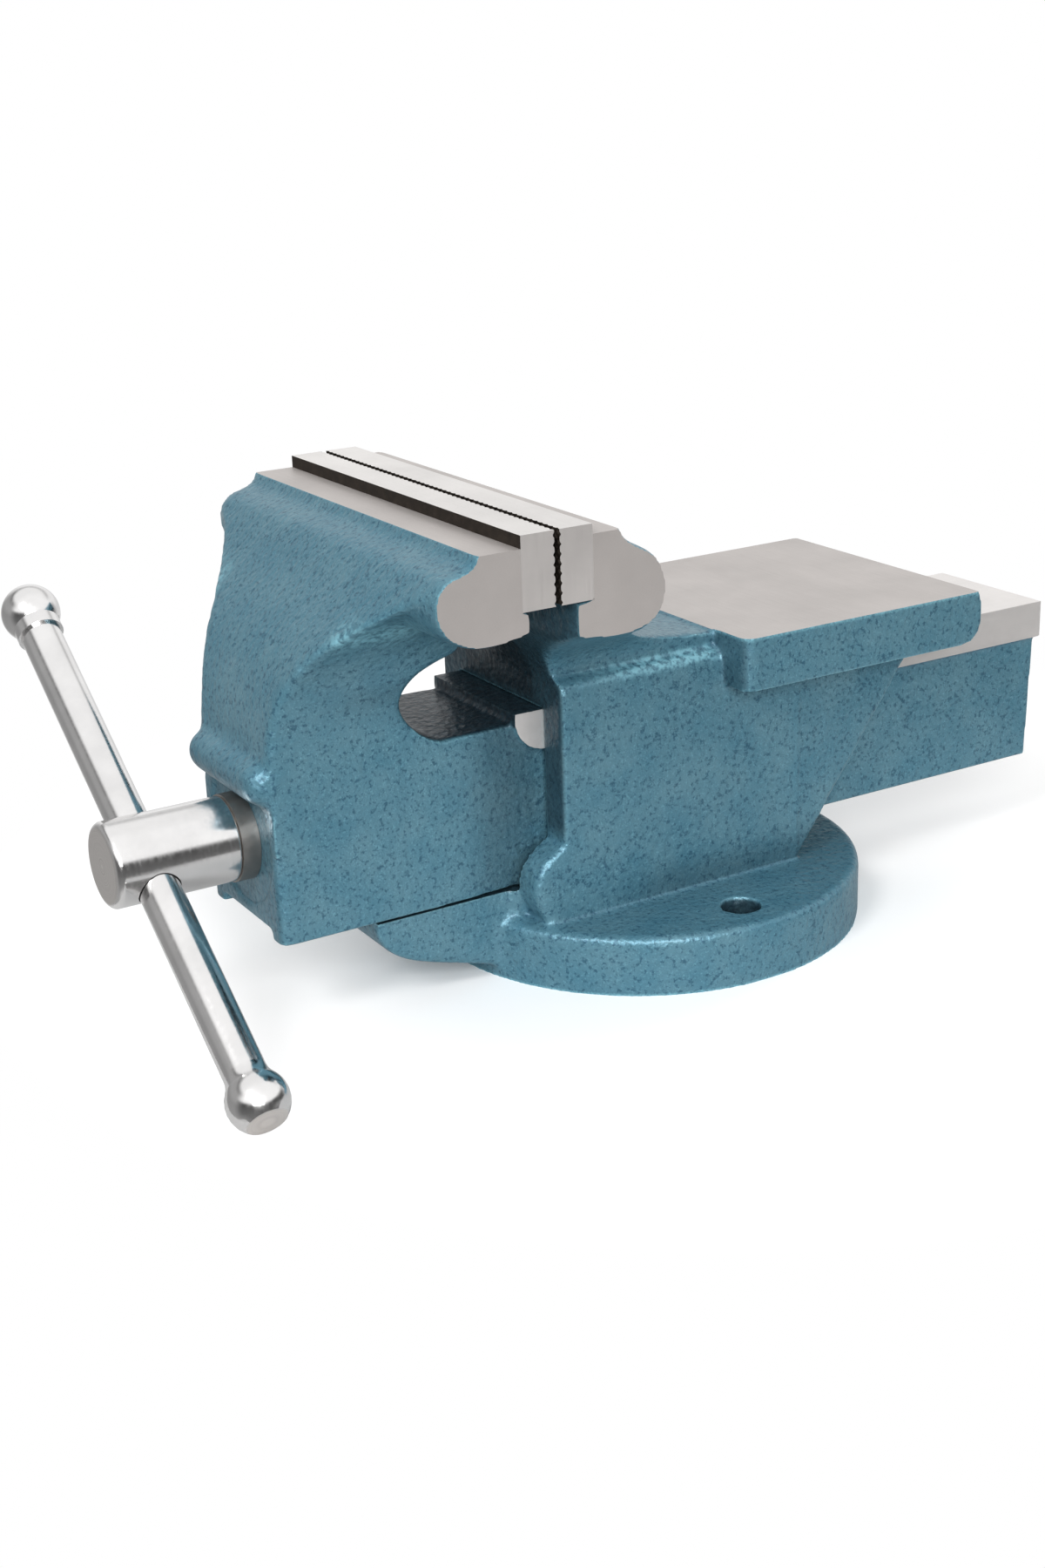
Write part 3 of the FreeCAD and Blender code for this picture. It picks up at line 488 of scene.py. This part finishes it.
def shade_moving(p, normal):
    """Painted shade inside the throat, where the casting skin is also black, where the box draws in by
    the body, along the web's crease, on the box's front face below the lip and under the box.

    The hollow under the ends of the jaw gets a painted highlight.
    """
    inside = 1.0 - ease(np.abs(p[:, Y]), 0.0240, 0.0262)
    inside = np.maximum(inside, ease(p[:, X], LAND_START - 0.002, LAND_START))
    # painted shade in the throat and over the land's top there, where the casting skin is also black
    throat = (0.95 * inside * ease(p[:, Z], 0.0835, 0.0850) * (1.0 - ease(p[:, Z], 0.130, 0.137))
              * ease(p[:, X], -0.105, -0.101))
    # painted shade where the box draws in by the body
    waist = (0.42 * ease(p[:, X], -0.086, -0.068) * (1.0 - ease(p[:, X], -0.060, -0.050))
             * ease(np.abs(normal[:, Y]), 0.5, 0.8))
    # painted shade along the web's crease, on the box's front face below the lip and under the box
    crease = (0.40 * band(np.abs(p[:, Y]), 0.0275, 0.0025) * band(p[:, Z], 0.112, 0.020)
              * band(p[:, X], -0.108, 0.030))
    wall = (0.25 * ease(-normal[:, X], 0.7, 0.95) * (1.0 - ease(p[:, Z], 0.080, 0.088))
            * ease(-p[:, X], 0.140, 0.146))
    under = 0.85 * ease(-normal[:, Z], 0.6, 0.9) * (1.0 - ease(p[:, Z], 0.031, 0.034))
    # painted highlight in the hollow under the ends of the jaw
    hollow = (0.60 * band(p[:, Z], 0.128, 0.009) * ease(np.abs(p[:, Y]), 0.036, 0.044)
              * (1.0 - ease(np.abs(p[:, Y]), 0.062, 0.070)) * ease(-p[:, X], 0.100, 0.108))
    return np.maximum.reduce([throat, waist, crease, wall, under]) - hollow


def shade_fixed(p, normal):
    """Painted shade on the front face and neck behind the jaw, on the front of the anvil pad, under the
    plates, along the foot by the flange, in the bolt holes and on the bed under the box.

    The shoulder between the side and the neck gets a painted highlight.
    """
    # painted shade on the front face and neck behind the jaw, on the pad's front and under the plates
    facing_front = ease(-normal[:, X], 0.55, 0.85)
    front = (facing_front * ease(-p[:, X], 0.050, 0.052) * ease(p[:, Z], 0.046, 0.052)
             * (1.0 - ease(p[:, Z], 0.136, 0.138)))
    middle = 0.90 * front * (1.0 - ease(np.abs(p[:, Y]), 0.020, 0.027)) * ease(p[:, Z], 0.088, 0.092)
    pad_end = 0.35 * facing_front * band(p[:, X], ANVIL_FRONT, 0.004)
    under_plates = 0.55 * ease(-p[:, X], 0.058, 0.064) * ease(p[:, Z], 0.120, 0.130)
    # painted shade along the foot of the side by the flange, in the bolt holes and on the bed under the box
    side = ease(np.abs(normal[:, Y]), 0.8, 0.95) * band(np.abs(p[:, Y]), BODY_HALF, 0.003)
    foot = 0.40 * side * (1.0 - ease(p[:, Z], 0.022, 0.036)) * ease(p[:, X], -0.045, -0.010)
    from_hole = np.hypot(p[:, X], np.abs(p[:, Y]) - BOLT_HOLE_Y)
    bolt_hole = (0.85 * (1.0 - ease(from_hole, BOLT_HOLE_R, BOLT_HOLE_R + 0.0006))
                 * (1.0 - ease(p[:, Z], 0.0185, 0.0197)))
    bed = (0.85 * ease(normal[:, Z], 0.6, 0.9) * near(p[:, Z], SLIDEWAY_FLOOR, 0.001)
           * ease(-p[:, X], 0.052, 0.054))
    # painted highlight along the shoulder between the side and the neck
    ridge = (0.75 * band(p[:, Z], 0.0995, 0.0035) * ease(np.abs(p[:, Y]), 0.031, 0.034)
             * ease(p[:, X], -0.052, -0.020) * (1.0 - ease(p[:, X], 0.004, 0.009)))
    dark = [0.72 * front, middle, pad_end, foot, bolt_hole, bed, under_plates]
    return np.maximum.reduce(dark) - ridge


def parting_line(p):
    """Low bead where the halves of the mould met, up each side of the body. Height at each point."""
    upright = ease(p[:, Z], 0.021, 0.023) * (1.0 - ease(p[:, Z], 0.084, 0.087))
    on_side = np.abs(p[:, Y]) > BODY_HALF - 0.0023
    return BEAD_HEIGHT * band(p[:, X], PARTING_X, 0.0012) * upright * on_side


def adjust_fixed(p):
    """Square the slideway's two upper corners, which the even mesh bevels, and add the parting line."""
    across = SLIDEWAY_HALF - np.abs(p[:, Y])
    below = SLIDEWAY_TOP - p[:, Z]
    low = -0.0001
    corner = (across > low) & (below > low) & (across < CORNER_REACH) & (below < CORNER_REACH)
    p[corner, Y] = np.sign(p[corner, Y]) * SLIDEWAY_HALF
    p[corner, Z] = SLIDEWAY_TOP
    p[:, Y] += np.sign(p[:, Y]) * parting_line(p)


VOXEL = 0.0008
SMOOTHING_STEPS = 30
cast_piece("moving_jaw_casting", "moving_jaw", "sliding_jaw", VOXEL, MOVING_FACES,
           soften_moving, locked_moving, shade_moving, SMOOTHING_STEPS)
cast_piece("fixed_body_casting", "fixed_body", "body", VOXEL, FIXED_FACES,
           soften_fixed, locked_fixed, shade_fixed, SMOOTHING_STEPS, adjust_fixed)


# ---------------------------------------------------------------- jaw plates

PLATE_HOLE_Y = 0.046
PLATE_HOLE_HEIGHT = 0.0096
HOLE_R = 0.00406
HEAD_HOLE_R = 0.00766
HEAD_RECESS = 0.0006
HEAD_CONE = 0.0042
TOOTH_PITCH = 0.0020
TOOTH_DEPTH = 0.0005
TOOTH_HALF_WIDTH = 0.0005
STEPS_PER_TOOTH = 6
HOLE_SIDES = 64
PAST_FACE = 0.003
PAST_BACK = 0.013


def groove_depth(y, z):
    """Depth of the diagonal serration at a place on the gripping face."""
    depth = np.zeros_like(y)
    for along in (y + z, y - z):
        off = np.abs((along / math.sqrt(2.0) + TOOTH_PITCH / 2) % TOOTH_PITCH - TOOTH_PITCH / 2)
        depth = np.maximum(depth, TOOTH_DEPTH * np.clip(1.0 - off / TOOTH_HALF_WIDTH, 0.0, 1.0))
    return depth


def lathe_mesh(name, profile, sides, place):
    """Closed solid of revolution. profile: (distance along, radius) pairs from axis to axis."""
    build = bmesh.new()
    rings = []
    for along, radius in profile:
        if radius == 0.0:
            rings.append([build.verts.new(place(along, 0.0, 0.0))])
            continue
        turn = [2.0 * math.pi * k / sides for k in range(sides)]
        rings.append([build.verts.new(place(along, radius * math.cos(angle), radius * math.sin(angle)))
                      for angle in turn])
    for ring, following in zip(rings, rings[1:]):
        for k in range(sides):
            corners = [ring[k % len(ring)], ring[(k + 1) % len(ring)],
                       following[(k + 1) % len(following)], following[k % len(following)]]
            unique = list(dict.fromkeys(corners))
            if len(unique) > 2:
                build.faces.new(unique)
    bmesh.ops.recalc_face_normals(build, faces=build.faces)
    mesh = bpy.data.meshes.new(name)
    build.to_mesh(mesh)
    build.free()
    return mesh


def cut_away(obj, cutter_mesh):
    """Subtract a closed mesh from the object, for good."""
    cutter = bpy.data.objects.new("cutter", cutter_mesh)
    bpy.context.scene.collection.objects.link(cutter)
    modifier = obj.modifiers.new("cut", "BOOLEAN")
    modifier.operation = "DIFFERENCE"
    modifier.solver = "EXACT"
    modifier.object = cutter
    graph = bpy.context.evaluated_depsgraph_get()
    mesh = bpy.data.meshes.new_from_object(obj.evaluated_get(graph))
    obj.modifiers.clear()
    obj.data = mesh
    bpy.data.objects.remove(cutter)


def serrated_plate(name, node, body, inward):
    """Jaw plate with a cross-cut gripping face, ground top and ends, and a dark back.

    inward is +1 where the plate lies on the +X side of its gripping face.
    """
    low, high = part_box(node)
    face_x, back_x = (low[0], high[0]) if inward > 0 else (high[0], low[0])
    step = TOOTH_PITCH / STEPS_PER_TOOTH
    across = np.linspace(low[1], high[1], int((high[1] - low[1]) / step) + 1)
    upward = np.linspace(low[2], high[2], int((high[2] - low[2]) / step) + 1)
    y, z = np.meshgrid(across, upward, indexing="ij")
    x = face_x + inward * groove_depth(y, z)
    build = bmesh.new()
    front = [[build.verts.new((x[i, k], y[i, k], z[i, k])) for k in range(len(upward))]
             for i in range(len(across))]
    for row, following in zip(front, front[1:]):
        for k in range(len(upward) - 1):
            build.faces.new((row[k], following[k], following[k + 1], row[k + 1]))
    rim = ([row[0] for row in front] + front[-1][1:] + [row[-1] for row in front[-2::-1]]
           + front[0][-2:0:-1])
    back = [build.verts.new((back_x, vert.co.y, vert.co.z)) for vert in rim]
    for k in range(len(rim)):
        following = (k + 1) % len(rim)
        build.faces.new((rim[k], rim[following], back[following], back[k]))
    build.faces.new(back)
    bmesh.ops.recalc_face_normals(build, faces=build.faces)
    mesh = bpy.data.meshes.new(name)
    build.to_mesh(mesh)
    build.free()
    obj = new_object(name, mesh, body)
    hole_z = low[2] + PLATE_HOLE_HEIGHT
    profile = [(-PAST_FACE, 0.0), (-PAST_FACE, HEAD_HOLE_R), (HEAD_RECESS, HEAD_HOLE_R),
               (HEAD_RECESS + HEAD_CONE, HOLE_R), (PAST_BACK, HOLE_R), (PAST_BACK, 0.0)]
    for hole_y in (-PLATE_HOLE_Y, PLATE_HOLE_Y):
        cut_away(obj, lathe_mesh("hole", profile, HOLE_SIDES, lambda along, a, b: (
            face_x + inward * along, hole_y + a, hole_z + b)))
    obj.data.materials.clear()
    for material in (PLATE_STEEL, PLATE_END_STEEL, SCALE):
        obj.data.materials.append(material)
    for face in obj.data.polygons:
        if abs(face.normal.y) > 0.9:
            face.material_index = 1
        elif abs(face.normal.z) < 0.9:
            face.material_index = 2
    obj.data.set_sharp_from_angle(angle=math.radians(25))
    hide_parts(node)
    return obj


serrated_plate("moving_plate_serrated", "moving_jaw_plate", "sliding_jaw", -1)
serrated_plate("fixed_plate_serrated", "fixed_jaw_plate", "body", 1)


# ---------------------------------------------------------------- CAD nodes that keep their shape

NODE_MATERIALS = {
    "fixed_plate_screws": DARK, "moving_plate_screws": DARK,
    "spindle_nut": IRON, "nut_bolts": DARK, "nut_bolt_washers": WASHER, "nut_lock_washers": DARK,
    "spindle": SPINDLE_STEEL, "thrust_washer": WASHER, "inner_washer": WASHER, "spindle_spring": DARK,
    "spring_seat_washer": WASHER, "retaining_collar": DARK, "collar_pin": WASHER,
    "handle_bar": HANDLE_STEEL, "handle_end_ball": HANDLE_STEEL,
}
for node_name, material in NODE_MATERIALS.items():
    data = NODES[node_name].data
    for index in range(max(1, len(data.materials))):
        if index < len(data.materials):
            data.materials[index] = material
        else:
            data.materials.append(material)


# ---------------------------------------------------------------- floor, light, camera

FLOOR_R = 0.27
FLOOR_CENTRE = (0.05, 0.03)
FLOOR_THICKNESS = 0.004
FADE_START = 0.15
FADE_END = 0.25


def stage():
    """A small round white table that glows to the white of the room towards its edge.

    The polished metal sees it half as bright.
    """
    profile = [(0.0, 0.0), (0.0, FLOOR_R), (-FLOOR_THICKNESS, FLOOR_R), (-FLOOR_THICKNESS, 0.0)]
    mesh = lathe_mesh("table", profile, 96, lambda along, a, b: (a, b, along))
    table = bpy.data.objects.new("table", mesh)
    table.location = (*FLOOR_CENTRE, 0.0)
    bpy.context.scene.collection.objects.link(table)
    n = material_nodes("pale_table")
    tone = n.ramp(n.noise(n.coords(), 6.0), [(0.3, 0.93), (0.7, 0.95)])
    mirrored = n.add("LightPath").outputs["Is Glossy Ray"]
    place = n.add("SeparateXYZ", {"Vector": n.coords()}).outputs
    out = n.math("SQRT", n.math("ADD", n.math("POWER", place["X"], 2.0), n.math("POWER", place["Y"], 2.0)))
    edge = n.add("MapRange", {"Value": out, "From Min": FADE_START, "From Max": FADE_END},
                 interpolation_type="SMOOTHSTEP").outputs[0]
    tone = n.mix(n.math("MULTIPLY", edge, 0.85), tone, (0.0, 0.0, 0.0))
    tone = n.mix(mirrored, tone, (0.52, 0.52, 0.52))
    glow = n.math("MULTIPLY", n.math("MULTIPLY_ADD", edge, 0.90, 0.06), n.math("SUBTRACT", 1.0, mirrored))
    mesh.materials.append(n.finish(Base_Color=tone, Roughness=0.9, Specular_IOR_Level=0.0,
                                   Emission_Color=(1.0, 1.0, 1.0, 1.0), Emission_Strength=glow))


def area_light(name, place, target, size, power, mirrored=True):
    light = bpy.data.lights.new(name, "AREA")
    light.shape = "RECTANGLE"
    light.size, light.size_y = size
    light.energy = power
    obj = bpy.data.objects.new(name, light)
    obj.location = place
    obj.rotation_euler = (Vector(target) - Vector(place)).to_track_quat("-Z", "Y").to_euler()
    obj.visible_glossy = mirrored
    bpy.context.scene.collection.objects.link(obj)


AMBIENT = 0.50


def world():
    """White to the eye, even light on the paint, and light and dark walls for the metal to reflect."""
    scene = bpy.context.scene
    scene.world = bpy.data.worlds.new("studio")
    n = Nodes(scene.world, "ShaderNodeOutputWorld")
    direction = n.add("SeparateXYZ", {"Vector": n.add("TexCoord").outputs["Generated"]}).outputs
    height = n.math("MULTIPLY_ADD", direction["Z"], 0.5, 0.5)
    front = n.ramp(height, [(0.08, 0.60), (0.17, 0.26), (0.36, 0.14), (0.60, 0.07), (0.635, 0.35),
                            (0.67, 1.10)])
    back = n.ramp(height, [(0.20, 0.9), (0.48, 0.75), (0.60, 1.0), (0.72, 0.95), (0.78, 0.55), (0.86, 1.0)])
    aside = n.add("MapRange", {"Value": direction["X"], "From Min": -0.35, "From Max": 0.2,
                               "To Min": 0.40, "To Max": 1.0}, interpolation_type="SMOOTHSTEP").outputs[0]
    overhead = n.add("MapRange", {"Value": direction["Z"], "From Min": 0.45, "From Max": 0.75},
                     interpolation_type="SMOOTHSTEP").outputs[0]
    back = n.mix(n.math("MAXIMUM", aside, overhead), (0.0, 0.0, 0.0), back)
    behind = n.add("MapRange", {"Value": direction["Y"], "From Min": -0.25, "From Max": 0.35},
                   interpolation_type="SMOOTHSTEP").outputs[0]
    mirror = n.mix(behind, front, back)
    path = n.add("LightPath").outputs
    seen = n.mix(path["Is Glossy Ray"], (AMBIENT, AMBIENT, AMBIENT), mirror)
    seen = n.mix(path["Is Camera Ray"], seen, (1.0, 1.0, 1.0))
    background = n.add("Background", {"Color": seen})
    n.tree.links.new(background.outputs[0], n.out.inputs["Surface"])


AZIMUTH = math.radians(-30.06)
ELEVATION = math.radians(19.82)
ROLL = math.radians(-2.12)
DISTANCE = 0.70185
TARGET = Vector((-0.04617, 0.0, 0.05447))
LENS = 48.52


def camera():
    back = Vector((math.sin(AZIMUTH) * math.cos(ELEVATION), -math.cos(AZIMUTH) * math.cos(ELEVATION),
                   math.sin(ELEVATION)))
    level = Vector((math.cos(AZIMUTH), math.sin(AZIMUTH), 0.0))
    upright = back.cross(level)
    right = math.cos(ROLL) * level + math.sin(ROLL) * upright
    up = math.cos(ROLL) * upright - math.sin(ROLL) * level
    data = bpy.data.cameras.new("camera")
    data.lens = LENS
    data.sensor_width = 36.0
    data.clip_start = 0.01
    obj = bpy.data.objects.new("camera", data)
    matrix = Matrix((right, up, back)).transposed().to_4x4()
    matrix.translation = TARGET + back * DISTANCE
    obj.matrix_world = matrix
    bpy.context.scene.collection.objects.link(obj)
    bpy.context.scene.camera = obj


stage()
world()
area_light("key", (-0.60, -1.26, 0.66), (-0.03, 0, 0.07), (0.8, 0.6), 17.5)
area_light("side", (-1.05, -0.60, 1.10), (-0.05, 0, 0.08), (0.45, 0.45), 9.5)
area_light("rear", (1.35, 0.40, 0.60), (0.03, 0, 0.07), (0.6, 0.6), 7.0, False)
area_light("far_side", (-0.30, 1.40, 0.70), (-0.03, 0, 0.07), (0.6, 0.6), 7.0, False)
camera()
bpy.context.scene.view_settings.view_transform = "Standard"
